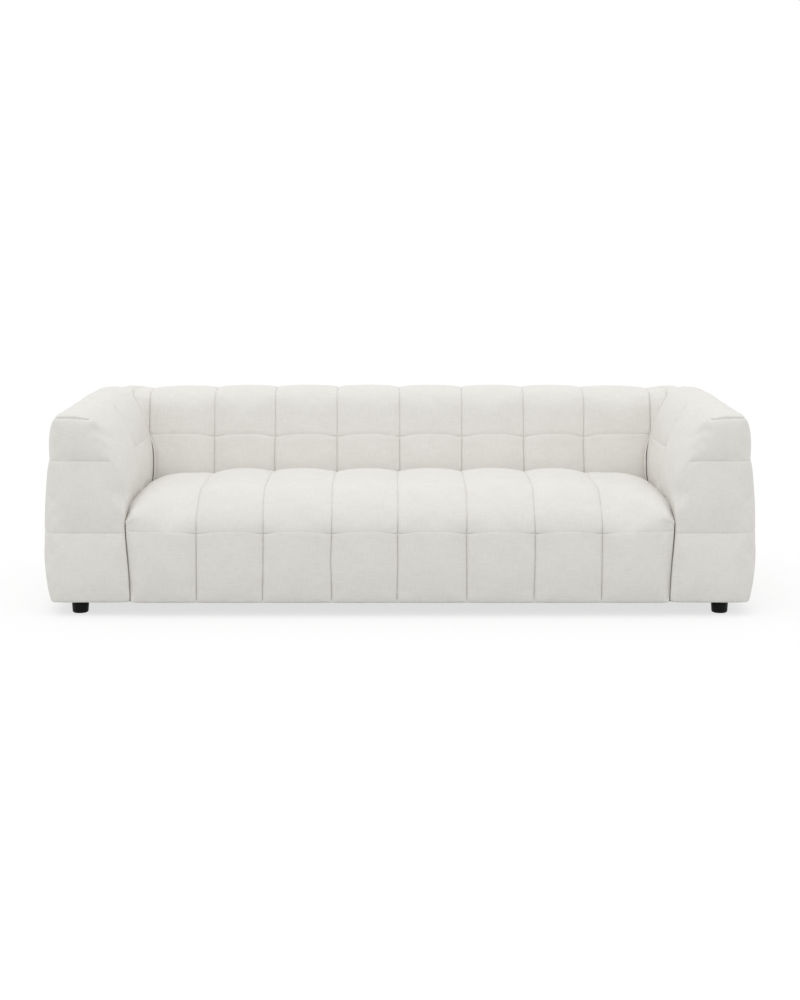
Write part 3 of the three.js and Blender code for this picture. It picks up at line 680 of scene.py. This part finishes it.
def armDimple(point):
    # the tufts and the fold, measured along the inner face and the top as on one flat cloth
    x, y, z = point
    arm = armSettings
    inner, top = sofa["armFace"], sofa["height"]
    if z > top - 0.001:
        across = x
    elif x < inner + 0.001:
        across = inner - (top - z)
    else:
        return 0.0
    depth = 0.0
    for tuftY, tuftZ, tuftDepth, reach in arm["tufts"]:
        away = math.hypot(y - tuftY, across - (inner - top + tuftZ))
        depth += tuftDepth * math.exp(-(away / reach) ** 2)
    share = (y - arm["foldStart"]) / arm["foldLength"]
    if share > 0.0:
        away = (across - (arm["foldInner"] + arm["foldAcross"] * share)) / arm["foldReach"]
        depth += arm["foldDepth"] * min(share * arm["foldFade"], 1.0) * math.exp(-away ** 2)
    return depth


def armDepth(side, point):
    if side == "left":
        return armSettings["innerDepth"] - armSettings["innerEase"] * smoothStep(*armSettings["innerTurn"], point[2])
    return armSettings["topDepth" if side == "top" else "outerDepth"]


def armPiping(point, sides):
    if "front" in sides and "top" in sides:
        return armSettings["pipingStrength"] * smoothStep(*armSettings["pipingFrom"], point[0])
    return 0.0


def armBend(point):
    x, y, z = point
    arm = armSettings
    inner = (sofa["halfWidth"] - x) / (sofa["halfWidth"] - sofa["armFace"])     # 1 at the inner face, 0 at the outer
    x += (armInnerLine(y, z) + endLine(y, z) + frontGap(y, z)) * inner
    length, power = arm["easeLength"], arm["easePower"]
    move = arm["frontEase"] * max(1.0 - (y - sofa["armFront"]) / length, 0.0) ** power
    move += arm["rearEase"] * max(1.0 - (sofa["rear"] - y) / length, 0.0) ** power
    move += tuckUnder(z, arm["tuck"]) + arm["outerSlack"]
    move += arm["batter"] * smoothStep(*arm["batterHeights"], z)
    move += arm["shoulder"] * smoothStep(*arm["shoulderHeights"], z)
    lip = max(fadeOut(*arm["lipDepths"], y), smoothStep(*arm["lipOuter"], x))
    lip *= fadeOut(*sofa["lowerEdge"], z)
    drop = arm["rearDrop"] * smoothStep(*arm["rearDropDepths"], y) * smoothStep(*sofa["topEdge"], z)
    x -= move * (1.0 - inner)
    z += topCrown(y, z) * inner - seatSettings["lip"] * lip - drop * (1.0 - inner)
    return Vector((x, y, z))


armSettings.update({
    "strength": armStrength,
    "bend": armBend,
    "reach": armReach,
    "open": armOpen,
    "depth": armDepth,
    "dimple": armDimple,
    "piping": armPiping,
})


# Pressure: the cloth is blown up a little against its seams, so that it pulls and puckers as filled covers do

pressureSettings = {
    "slack": 0.005,             # how much smaller the covers start
    "pressure": 4.0, "frames": 20, "quality": 5, "mass": 0.008,
    "cap": 0.009,               # the furthest that any point may move
    "growth": 0.004,            # the cloth is cut this much larger
    "freeFrom": 0.02, "sewnFrom": 0.5,
}


def blowUp(pieces, settings):
    rests = {}
    for piece in pieces:
        rests[piece] = [v.co.copy() for v in piece.data.vertices]
        free = piece.data.attributes["free"].data
        seam = piece.data.attributes["seam"].data
        held = piece.vertex_groups.new(name="held")
        held.add([i for i in range(len(rests[piece])) if free[i].value <= settings["freeFrom"]
                  or seam[i].value > settings["sewnFrom"]], 1.0, "REPLACE")
        filling = piece.modifiers.new("filling", "CLOTH")
        filling.collision_settings.use_collision = False
        cloth = filling.settings
        cloth.quality = settings["quality"]
        cloth.mass = settings["mass"]
        cloth.use_pressure = True
        cloth.uniform_pressure_force = settings["pressure"]
        cloth.vertex_group_mass = "held"
        cloth.shrink_min = -settings["growth"]
        cloth.effector_weights.gravity = 0.0
    for moment in range(1, settings["frames"] + 1):
        scene.frame_set(moment)
    graph = bpy.context.evaluated_depsgraph_get()
    for piece in pieces:
        filled = [v.co.copy() for v in piece.evaluated_get(graph).data.vertices]
        for vert, rest, full in zip(piece.data.vertices, rests[piece], filled):
            step = full - rest
            vert.co = rest + step * min(1.0, settings["cap"] / max(step.length, 1e-9))
        piece.modifiers.remove(piece.modifiers["filling"])
        piece.vertex_groups.clear()
    scene.frame_set(1)


def mirrored(source):
    mesh = bmesh.new()
    mesh.from_mesh(source.data)
    bmesh.ops.scale(mesh, vec=(-1.0, 1.0, 1.0), verts=mesh.verts)
    bmesh.ops.recalc_face_normals(mesh, faces=mesh.faces)
    return mesh


def newCover(section, mesh):
    return newPiece(section + "_upholstery", mesh, linen, [section + "_cover"])


slack = pressureSettings["slack"]
covers = []
for section, settings in (("seat", seatSettings), ("back", backSettings), ("right_arm", armSettings)):
    covers.append(newCover(section, quiltedBlock(settings, slack)))
    print(section, "laid out")
blowUp(covers, pressureSettings)
print("covers filled")
for cover in covers:
    sewSeams(cover)
covers.append(newCover("left_arm", mirrored(covers[-1])))
for cover in covers:
    finer = cover.modifiers.new("finer", "SUBSURF")
    finer.levels = finer.render_levels = 1
print("covers sewn")


# Foam blocks, in the form of the frame's own blocks but eased to lie under the covers

seatFoamSettings = {
    "cuts": (0.64, 0.68, 0.72, 0.76, 0.8, 0.83, 0.86, 0.89, 0.91, 0.93),
    "front": -0.474, "rollBottom": 0.27, "roll": 0.05,      # the edges in front, over this height, are rolled
    "pull": 0.034, "pullDepths": (-0.46, -0.3), "pullStart": 0.8,
    "drop": 1.15, "dropHeights": (0.28, 0.36),
}
armFoamSettings = {
    "yCuts": (-0.36, -0.25, -0.12, 0.05, 0.25, 0.38), "zCuts": (0.45, 0.5, 0.55, 0.6, 0.63),
    "inner": 0.9693, "outer": 1.1797,
    "wall": 0.026, "topWall": 0.02, "topHeights": (0.6, 0.655),
}
foamFinish = {"cellSize": 1.5, "dark": "#d8cd9c", "pale": "#e9e0b6", "ease": 0.003, "easeAngle": 50.0}


def foamBlock(node, bend, cuts):
    mesh = bmesh.new()
    mesh.from_mesh(bpy.data.objects[node].data)
    bmesh.ops.remove_doubles(mesh, verts=mesh.verts, dist=1e-5)
    bmesh.ops.dissolve_limit(mesh, angle_limit=math.radians(1.0), verts=mesh.verts, edges=mesh.edges)
    if node == "seat_foam":
        settings = seatFoamSettings
        rolled = [e for e in mesh.edges if e.calc_length() > 1.0
                  and all(v.co.y < settings["front"] and v.co.z > settings["rollBottom"] for v in e.verts)]
        bmesh.ops.bevel(mesh, geom=rolled, affect="EDGES", offset=settings["roll"], segments=4, profile=0.5,
                        material=-1)
    for axis, places in cuts:
        for place in places:
            middle, normal = [0.0] * 3, [0.0] * 3
            middle[axis], normal[axis] = place, 1.0
            bmesh.ops.bisect_plane(mesh, geom=mesh.verts[:] + mesh.edges[:] + mesh.faces[:], plane_co=middle,
                                   plane_no=normal)
    for vert in mesh.verts:
        vert.co = bend(vert.co)
    bmesh.ops.recalc_face_normals(mesh, faces=mesh.faces)
    return mesh


def seatFoamBend(point):
    # lowered at the ends like the cover over it, and narrower in front, behind the line where seat and arm meet
    x, y, z = point
    block = seatFoamSettings
    outwards = max((abs(x) - block["pullStart"]) / (sofa["seatEnd"] - block["pullStart"]), 0.0)
    pull = block["pull"] * fadeOut(*meetingSettings["lineHeights"], z) * fadeOut(*block["pullDepths"], y) * outwards
    drop = seatDrop(x) * block["drop"] * smoothStep(*block["dropHeights"], z)
    return Vector((x - math.copysign(pull, x), y, z - drop))


def armFoamBend(point):
    # the block's inner face steps back where the cover over it leans away
    x, y, z = point
    block = armFoamSettings
    wall = block["wall"] + block["topWall"] * smoothStep(*block["topHeights"], z)
    step = max(sofa["armFace"] + armInnerLine(y, z) + wall - block["inner"], 0.0)
    share = (block["outer"] - abs(x)) / (block["outer"] - block["inner"])
    return Vector((math.copysign(abs(x) + step * share, x), y, z))


def upholsteryFoam(settings):
    # cut polyurethane foam: matt pale yellow with fine open cells, which show as grain; cells drawn at 1.5 mm
    material, tree, shader = startMaterial("cut_polyurethane_foam")
    cells = addNode(tree, "TexVoronoi", values={"Scale": perMetre / settings["cellSize"]},
                    links={"Vector": placeOn(tree)})
    finishMaterial(tree, shader, cells, [(0.1, settings["dark"]), (0.7, settings["pale"])], 0.4, 0.0004,
                   {"Roughness": 0.95, "Specular IOR Level": 0.1})
    return material


foam = upholsteryFoam(foamFinish)
seatCuts = [(0, [side * place for side in (-1.0, 1.0) for place in seatFoamSettings["cuts"]])]
armCuts = [(1, armFoamSettings["yCuts"]), (2, armFoamSettings["zCuts"])]
for node, bend, cuts in (("seat_foam", seatFoamBend, seatCuts), ("back_foam", lambda point: point, []),
                         ("left_arm_foam", armFoamBend, armCuts), ("right_arm_foam", armFoamBend, armCuts)):
    block = newPiece(node + "_block", foamBlock(node, bend, cuts), foam, [node], smooth=False)
    eased = block.modifiers.new("eased", "BEVEL")
    eased.width = foamFinish["ease"]
    eased.segments = 2
    eased.angle_limit = math.radians(foamFinish["easeAngle"])
print("foam cut")


# Cloth sheets: felt over the springs, hessian over the back's frame, dust cloth below

feltSettings = {
    "flat": (1.8854, 0.5745), "middle": (0.0, -0.16325, 0.2571), "thickness": 0.0027, "held": "laid",
    "restsOn": ["front_spring_clip_strip", "rear_spring_clip_strip", "seat_spring_4"],
}
hessianSettings = {
    "flat": (1.8854, 0.3156), "line": ((0.2362, 0.29), (0.2362, 0.36), (0.2836, 0.601)), "thickness": 0.0012,
    "held": "stretched", "restsOn": ["left_back_upright", "middle_back_upright", "right_back_upright"],
}
dustSettings = {
    "flat": (2.372, 0.964), "middle": (0.0, 0.0065, 0.0489), "thickness": 0.0006, "held": "stretched",
    "restsOn": ["seat_front_rail", "seat_rear_rail", "left_front_foot_block", "right_front_foot_block"],
}
sheetCells = (24, 8)        # along the width and the length


def flatSheet(settings):
    mesh = bmesh.new()
    bmesh.ops.create_grid(mesh, x_segments=sheetCells[0], y_segments=sheetCells[1], size=0.5)
    bmesh.ops.scale(mesh, vec=settings["flat"] + (1.0,), verts=mesh.verts)
    bmesh.ops.translate(mesh, vec=settings["middle"], verts=mesh.verts)
    return mesh


def backSheet(settings):
    # one strip of cloth that follows the uprights' line
    width = settings["flat"][0]
    mesh = bmesh.new()
    verts = [mesh.verts.new((-width / 2.0, y, z)) for y, z in settings["line"]]
    edges = [mesh.edges.new(pair) for pair in zip(verts, verts[1:])]
    drawn = bmesh.ops.extrude_edge_only(mesh, edges=edges)["geom"]
    bmesh.ops.translate(mesh, vec=(width, 0.0, 0.0), verts=[g for g in drawn if isinstance(g, bmesh.types.BMVert)])
    long = [e for e in mesh.edges if abs(e.verts[0].co.x - e.verts[1].co.x) > 1.0]
    bmesh.ops.subdivide_edges(mesh, edges=long, cuts=sheetCells[0] - 1, use_grid_fill=True)
    bmesh.ops.recalc_face_normals(mesh, faces=mesh.faces)
    return mesh


def clothSheet(name, mesh, settings, material, node):
    sheet = newPiece(name, mesh, material, [node])
    thick = sheet.modifiers.new("thick", "SOLIDIFY")
    thick.thickness = settings["thickness"]
    thick.offset = 0.0


def fibreCloth(name, dark, pale, size, stretch, bumpDepth, roughness):
    # threads or fibres both ways, as streaks of the given size in mm
    material, tree, shader = startMaterial(name)
    short, long = perMetre / size, perMetre / (size * stretch)
    streaks = [addNode(tree, "TexNoise", values={"Scale": 1.0, "Detail": 3.0}, links={"Vector": placeOn(tree, scale)})
               for scale in ((short, long, short), (long, short, long))]
    both = addNode(tree, "Math", {"operation": "MAXIMUM"}, links={0: streaks[0], 1: streaks[1]})
    finishMaterial(tree, shader, both, [(0.42, dark), (0.68, pale)], 0.5, bumpDepth,
                   {"Roughness": roughness, "Specular IOR Level": 0.2})
    return material


# pressed fibres: matt, flecked grey
needledFelt = fibreCloth("needled_felt", "#77736b", "#a29d94", 1.2, 4.0, 0.0006, 1.0)
# coarse plain weave: brown, hairy threads
juteHessian = fibreCloth("jute_hessian", "#8a6c44", "#c2a372", 1.6, 12.0, 0.0008, 0.95)
# bonded plastic fibre: black, slight gloss
spunbondCloth = fibreCloth("spunbond_dust_cloth", "#141414", "#262626", 0.8, 8.0, 0.0002, 0.75)

clothSheet("spring_felt_sheet", flatSheet(feltSettings), feltSettings, needledFelt, "spring_felt")
clothSheet("back_hessian_sheet", backSheet(hessianSettings), hessianSettings, juteHessian, "back_webbing")
clothSheet("dust_cloth_sheet", flatSheet(dustSettings), dustSettings, spunbondCloth, "dust_cover")
print("sheets laid")


# Finishes of the frame that stays as it is; spacings and blotches in mm

pineSettings = {"ringSpacing": 3.0, "alongGrain": 0.04}
plywoodSettings = {"plySpacing": 1.5, "figureScale": 60.0, "alongGrain": 0.06}
steelSettings = {"blotchSize": 4.0, "roughnessSpan": 0.15}


def planedPine(name, lengthAxis, settings):
    # planed pine: pale, with long straight grain along the board, early and late wood 3 mm apart
    material, tree, shader = startMaterial(name)
    scale = [settings["alongGrain"] if axis == lengthAxis else 1.0 for axis in range(3)]
    rings = addNode(tree, "TexNoise", links={"Vector": placeOn(tree, scale)},
                    values={"Scale": perMetre / settings["ringSpacing"], "Detail": 2.0, "Distortion": 0.3})
    finishMaterial(tree, shader, rings, [(0.35, "#b58a57"), (0.5, "#d9b98a"), (0.75, "#e6cda3")], 0.2, 0.0003,
                   {"Roughness": 0.6})
    return material


def birchPlywood(settings):
    # rotary-cut birch plywood: broad faint figure on the face, thin dark lines of glue at the edge, 1.5 mm apart
    material, tree, shader = startMaterial("birch_plywood")
    figure = addNode(tree, "TexNoise", links={"Vector": placeOn(tree, (1.0, settings["alongGrain"], 1.0))},
                     values={"Scale": settings["figureScale"], "Detail": 3.0, "Distortion": 0.8})
    plies = addNode(tree, "TexWave", {"wave_type": "BANDS", "bands_direction": "X"},
                    {"Scale": waveLength * perMetre / settings["plySpacing"]}, {"Vector": placeOn(tree)}).outputs["Fac"]
    face = addNode(tree, "ValToRGB", links={"Fac": figure}, stops=[(0.3, "#c9a676"), (0.7, "#e2c79c")])
    lines = addNode(tree, "ValToRGB", links={"Fac": plies}, stops=[(0.08, "#8d6a42"), (0.2, "#ffffff")])
    colour = addNode(tree, "Mix", {"data_type": "RGBA", "blend_type": "MULTIPLY"}, {0: 0.6}, {6: face, 7: lines})
    wire(tree, shader, {"Roughness": 0.55}, {"Base Color": colour.outputs[2]})
    return material


def platedSteel(name, dark, pale, roughness, settings):
    # cold drawn steel, zinc plated or oiled: grey, with small blotches 4 mm across
    material, tree, shader = startMaterial(name)
    blotches = addNode(tree, "TexNoise", values={"Scale": perMetre / settings["blotchSize"], "Detail": 4.0},
                       links={"Vector": placeOn(tree)})
    colour = addNode(tree, "ValToRGB", links={"Fac": blotches}, stops=[(0.3, dark), (0.7, pale)])
    gloss = addNode(tree, "MapRange", links={"Value": blotches},
                    values={"To Min": roughness, "To Max": roughness + settings["roughnessSpan"]})
    wire(tree, shader, {"Metallic": 1.0}, {"Base Color": colour, "Roughness": gloss})
    return material


boards = [planedPine("planed_pine_" + way, axis, pineSettings) for axis, way in enumerate(("across", "deep", "upright"))]
plywood = birchPlywood(plywoodSettings)
zincSteel = platedSteel("zinc_plated_steel", "#a9abaa", "#c9cccc", 0.3, steelSettings)
springSteel = platedSteel("oiled_spring_wire", "#54504a", "#7b7770", 0.38, steelSettings)
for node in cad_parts:
    low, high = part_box(node)
    spans = [high[a] - low[a] for a in range(3)]
    if node.endswith("panel"):
        finish = plywood
    elif node.endswith(("rail", "post", "block", "upright", "batten")):
        finish = boards[spans.index(max(spans))]
    elif node.startswith("seat_spring"):
        finish = springSteel
    elif node.endswith(("strip", "bolt", "stud")):
        finish = zincSteel
    else:
        continue
    for slot in bpy.data.objects[node].material_slots:
        slot.material = finish
print("frame finished")


# Feet

footSettings = {
    "nodes": ("left_front_foot", "right_front_foot", "left_rear_foot", "right_rear_foot", "centre_foot"),
    "tip": 0.0275, "top": 0.0305, "height": 0.0484,     # radii of the lower and upper end, and height
    "bottomRound": 0.006, "roundSteps": 4, "topRound": 0.0015, "topEase": 0.0004,
    "spinSteps": 48,
    "grain": (900.0, 900.0, 45.0),      # streaks 1.1 mm across and 22 mm long
}


def stainedBeech(settings):
    # turned beech stained black and lacquered: near black, satin, with a trace of upright grain
    material, tree, shader = startMaterial("black_stained_beech")
    streak = addNode(tree, "TexNoise", values={"Scale": 1.0, "Detail": 4.0},
                     links={"Vector": placeOn(tree, settings["grain"])})
    finishMaterial(tree, shader, streak, [(0.35, "#030303"), (0.7, "#0a0908")], 0.15, 0.0002,
                   {"Roughness": 0.45, "Specular IOR Level": 0.15})
    return material


def turnedFoot(settings, middle):
    rounding, height = settings["bottomRound"], settings["height"]
    profile = [(0.0, 0.0)]
    for step in range(settings["roundSteps"] + 1):
        angle = math.radians(90.0 * step / settings["roundSteps"] - 90.0)
        profile.append((settings["tip"] - rounding * (1.0 - math.cos(angle)), rounding * (1.0 + math.sin(angle))))
    profile += [(settings["top"] - settings["topEase"], height - settings["topRound"]),
                (settings["top"] - settings["topRound"], height), (0.0, height)]
    mesh = bmesh.new()
    verts = [mesh.verts.new((radius, 0.0, level)) for radius, level in profile]
    edges = [mesh.edges.new(pair) for pair in zip(verts, verts[1:])]
    bmesh.ops.spin(mesh, geom=verts + edges, cent=(0, 0, 0), axis=(0, 0, 1), angle=2 * math.pi,
                   steps=settings["spinSteps"], use_merge=True)
    bmesh.ops.remove_doubles(mesh, verts=mesh.verts, dist=1e-6)
    bmesh.ops.recalc_face_normals(mesh, faces=mesh.faces)
    bmesh.ops.translate(mesh, vec=middle, verts=mesh.verts)
    return mesh


blackBeech = stainedBeech(footSettings)
for node in footSettings["nodes"]:
    low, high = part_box(node)
    middle = ((low[0] + high[0]) / 2, (low[1] + high[1]) / 2, 0.0)
    newPiece(node.replace("_foot", "_turned_foot"), turnedFoot(footSettings, middle), blackBeech, [node])
print("feet turned")


# Floor, backdrop and light

stageSettings = {
    "floor": "#fafafa", "bounce": "#d4d4d4",        # the card as the camera sees it, and as it lights the sofa
    "floorSize": 60.0,
    "shadowShare": 0.3,         # how much of its shadows the floor shows
    "sky": 0.965,
    "sun": 0.115, "sunSpread": 50.0, "sunTilt": (12.0, -12.0, 0.0),
    "white": (1.0, 1.0, 1.0, 1.0),
}


def whiteCard(settings):
    # matt white card, seen paler than it lights the sofa
    material, tree, shader = startMaterial("plain_floor")
    rays = addNode(tree, "LightPath").outputs
    seen = addNode(tree, "Math", {"operation": "MAXIMUM"}, links={0: rays["Is Camera Ray"], 1: rays["Is Glossy Ray"]})
    colour = addNode(tree, "Mix", {"data_type": "RGBA"},
                     {6: linear(settings["bounce"]), 7: linear(settings["floor"])}, {0: seen})
    wire(tree, shader, {"Roughness": 0.9, "Specular IOR Level": 0.0}, {"Base Color": colour.outputs[2]})
    white = addNode(tree, "Emission", values={"Color": settings["white"], "Strength": 1.0})
    share = addNode(tree, "Math", {"operation": "MULTIPLY"}, {1: 1.0 - settings["shadowShare"]}, {0: seen})
    mixed = addNode(tree, "MixShader", links={0: share, 1: shader, 2: white})
    wire(tree, tree.nodes["Material Output"], links={"Surface": mixed})
    return material


def makeStage(settings):
    mesh = bmesh.new()
    bmesh.ops.create_grid(mesh, x_segments=2, y_segments=2, size=settings["floorSize"])
    data = bpy.data.meshes.new("floor")
    mesh.to_mesh(data)
    mesh.free()
    data.materials.append(whiteCard(settings))
    floor = bpy.data.objects.new("floor", data)
    scene.collection.objects.link(floor)
    world = bpy.data.worlds.new("studio")
    scene.world = world
    world.use_nodes = True
    tree = world.node_tree
    rays = addNode(tree, "LightPath").outputs
    strength = addNode(tree, "Mix", {"data_type": "FLOAT"}, {2: settings["sky"], 3: 1.0}, {0: rays["Is Camera Ray"]})
    wire(tree, tree.nodes["Background"], {"Color": settings["white"]}, {"Strength": strength})
    lamp = bpy.data.lights.new("softKey", "SUN")
    lamp.energy = settings["sun"] * math.pi
    lamp.angle = math.radians(settings["sunSpread"])
    key = bpy.data.objects.new("softKey", lamp)
    key.rotation_euler = [math.radians(turn) for turn in settings["sunTilt"]]
    scene.collection.objects.link(key)


makeStage(stageSettings)
print("stage set")
